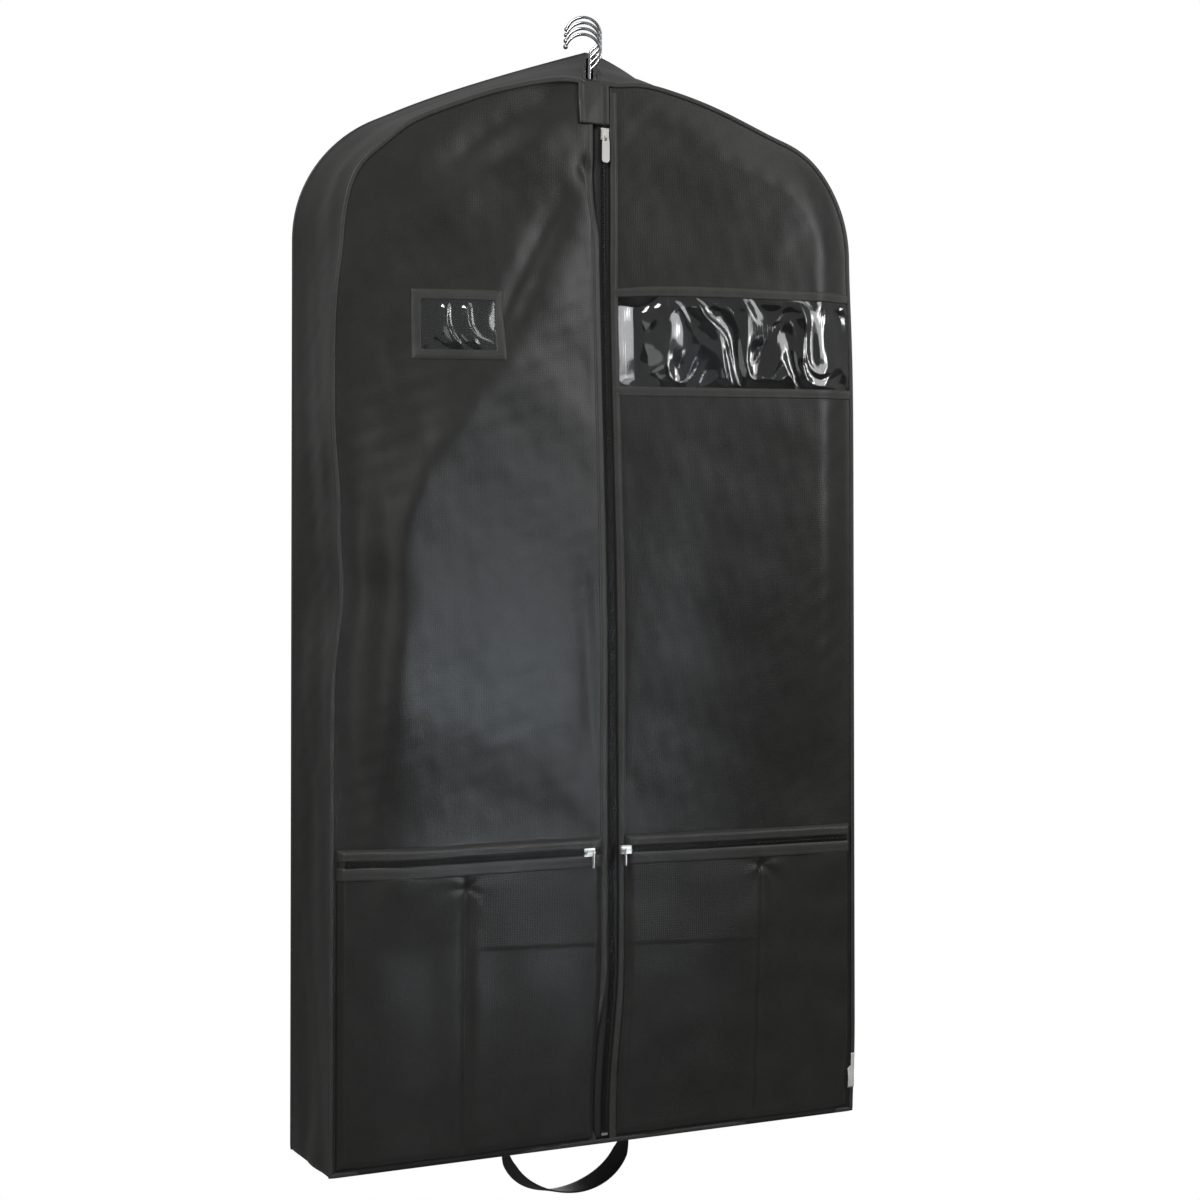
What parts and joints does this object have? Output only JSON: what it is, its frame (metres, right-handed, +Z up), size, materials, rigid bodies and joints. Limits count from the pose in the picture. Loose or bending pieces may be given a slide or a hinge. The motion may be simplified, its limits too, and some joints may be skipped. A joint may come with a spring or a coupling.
{
  "type": "garment bag",
  "caption": "Hanging garment bag with shaped shoulders, full-length front zip, clear windows, zipped lower pockets, carry handle and wire-hook hangers.",
  "frame": {"origin": "on the carrying rail, under the crowns of the hanger hooks, at the middle of their row", "axes": "+Z up, -Y out of the bag's front, +X to the right seen from the front"},
  "size_m": [0.61, 0.1282, 1.2668],
  "materials": {
    "bag_cloth": "black spunbond non-woven, matt with a faint sheen",
    "edge_binding": "folded edge tape of the same cloth",
    "zip_tape": "woven polyester tape with nylon coil",
    "zip_metal": "nickel-plated die casting",
    "clear_film": "glossy clear vinyl film",
    "hook_wire": "bright chrome",
    "hanger_moulding": "satin black moulding",
    "webbing": "black polypropylene webbing",
    "label_cloth": "blank white woven label"
  },
  "bodies": {
    "upper": {"back_panel_upper": "bag_cloth", "gusset_top": "bag_cloth", "gusset_left_upper": "bag_cloth", "gusset_right_upper": "bag_cloth", "slot_binding": "edge_binding", "edge_tape_front_upper": "edge_binding", "edge_tape_back_upper": "edge_binding", "front_left_upper": "bag_cloth", "front_right_top": "bag_cloth", "front_right_middle": "bag_cloth", "window_film": "clear_film", "window_hem_lower": "bag_cloth", "window_hem_upper": "bag_cloth", "card_frame": "bag_cloth", "card_film": "clear_film", "zip_tape_left_upper": "zip_tape", "zip_tape_right_upper": "zip_tape", "zip_chain_left_upper": "zip_tape", "zip_chain_right_upper": "zip_tape", "zip_guard": "bag_cloth", "hanger_1": "hanger_moulding", "hanger_2": "hanger_moulding", "hanger_3": "hanger_moulding", "hanger_4": "hanger_moulding"},
    "lower": {"back_panel_lower": "bag_cloth", "gusset_left_lower": "bag_cloth", "gusset_right_lower": "bag_cloth", "gusset_bottom": "bag_cloth", "edge_tape_front_lower": "edge_binding", "edge_tape_back_lower": "edge_binding", "front_left_lower": "bag_cloth", "front_right_lower": "bag_cloth", "zip_tape_left_lower": "zip_tape", "zip_tape_right_lower": "zip_tape", "zip_chain_left_lower": "zip_tape", "zip_chain_right_lower": "zip_tape", "zip_stop": "zip_metal", "pocket_left": "bag_cloth", "pocket_right": "bag_cloth", "pocket_seam_left": "bag_cloth", "pocket_seam_right": "bag_cloth", "pocket_zip_left_upper": "zip_tape", "pocket_zip_right_upper": "zip_tape", "pocket_zip_left_lower": "zip_tape", "pocket_zip_right_lower": "zip_tape", "side_label": "label_cloth", "handle_tab_left": "webbing", "handle_tab_right": "webbing"},
    "main_slider": {"main_slider": "zip_metal"},
    "main_pull": {"main_pull": "zip_metal"},
    "pocket_slider_left": {"pocket_slider_left": "zip_metal"},
    "pocket_pull_left": {"pocket_pull_left": "zip_metal"},
    "pocket_slider_right": {"pocket_slider_right": "zip_metal"},
    "pocket_pull_right": {"pocket_pull_right": "zip_metal"},
    "handle": {"handle": "webbing"},
    "hook_1": {"hook_1": "hook_wire"},
    "hook_2": {"hook_2": "hook_wire"},
    "hook_3": {"hook_3": "hook_wire"},
    "hook_4": {"hook_4": "hook_wire"}
  },
  "joints": [
    {"name": "fold", "type": "hinge", "parent": "upper", "child": "lower", "pos_m": [0, 0.059, -0.611], "axis": [1, 0, 0], "range_deg": [0, 175]},
    {"name": "main_zip", "type": "slide", "parent": "upper", "child": "main_slider", "axis": [0, 0, 1], "range_m": [-1.02, 0]},
    {"name": "main_pull_swing", "type": "hinge", "parent": "main_slider", "child": "main_pull", "pos_m": [0, -0.0586, -0.12175], "axis": [-1, 0, 0], "range_deg": [0, 120]},
    {"name": "pocket_zip_left", "type": "slide", "parent": "lower", "child": "pocket_slider_left", "axis": [1, 0, 0], "range_m": [-0.255, 0]},
    {"name": "pocket_pull_left_swing", "type": "hinge", "parent": "pocket_slider_left", "child": "pocket_pull_left", "pos_m": [-0.0183, -0.0693, -0.861], "axis": [-1, 0, 0], "range_deg": [0, 140]},
    {"name": "pocket_zip_right", "type": "slide", "parent": "lower", "child": "pocket_slider_right", "axis": [1, 0, 0], "range_m": [0, 0.255]},
    {"name": "pocket_pull_right_swing", "type": "hinge", "parent": "pocket_slider_right", "child": "pocket_pull_right", "pos_m": [0.0183, -0.0693, -0.861], "axis": [-1, 0, 0], "range_deg": [0, 140]},
    {"name": "handle_swing", "type": "hinge", "parent": "lower", "child": "handle", "pos_m": [-0.008, 0.03, -1.1765], "axis": [1, 0, 0], "range_deg": [-45, 45]},
    {"name": "hook_1_swivel", "type": "hinge", "parent": "upper", "child": "hook_1", "pos_m": [-0.0083, -0.03585, -0.01605], "axis": [0, 0, 1], "range_deg": [-60, 60]},
    {"name": "hook_2_swivel", "type": "hinge", "parent": "upper", "child": "hook_2", "pos_m": [0.0015, -0.01385, -0.00535], "axis": [0, 0, 1], "range_deg": [-60, 60]},
    {"name": "hook_3_swivel", "type": "hinge", "parent": "upper", "child": "hook_3", "pos_m": [0.01129, 0.00815, 0.00535], "axis": [0, 0, 1], "range_deg": [-60, 60]},
    {"name": "hook_4_swivel", "type": "hinge", "parent": "upper", "child": "hook_4", "pos_m": [0.02109, 0.03015, 0.01605], "axis": [0, 0, 1], "range_deg": [-60, 60]}
  ],
  "couplings": [
    {"joint": "hook_2_swivel", "follows": "hook_1_swivel", "ratio": 1},
    {"joint": "hook_3_swivel", "follows": "hook_1_swivel", "ratio": 1},
    {"joint": "hook_4_swivel", "follows": "hook_1_swivel", "ratio": 1}
  ]
}
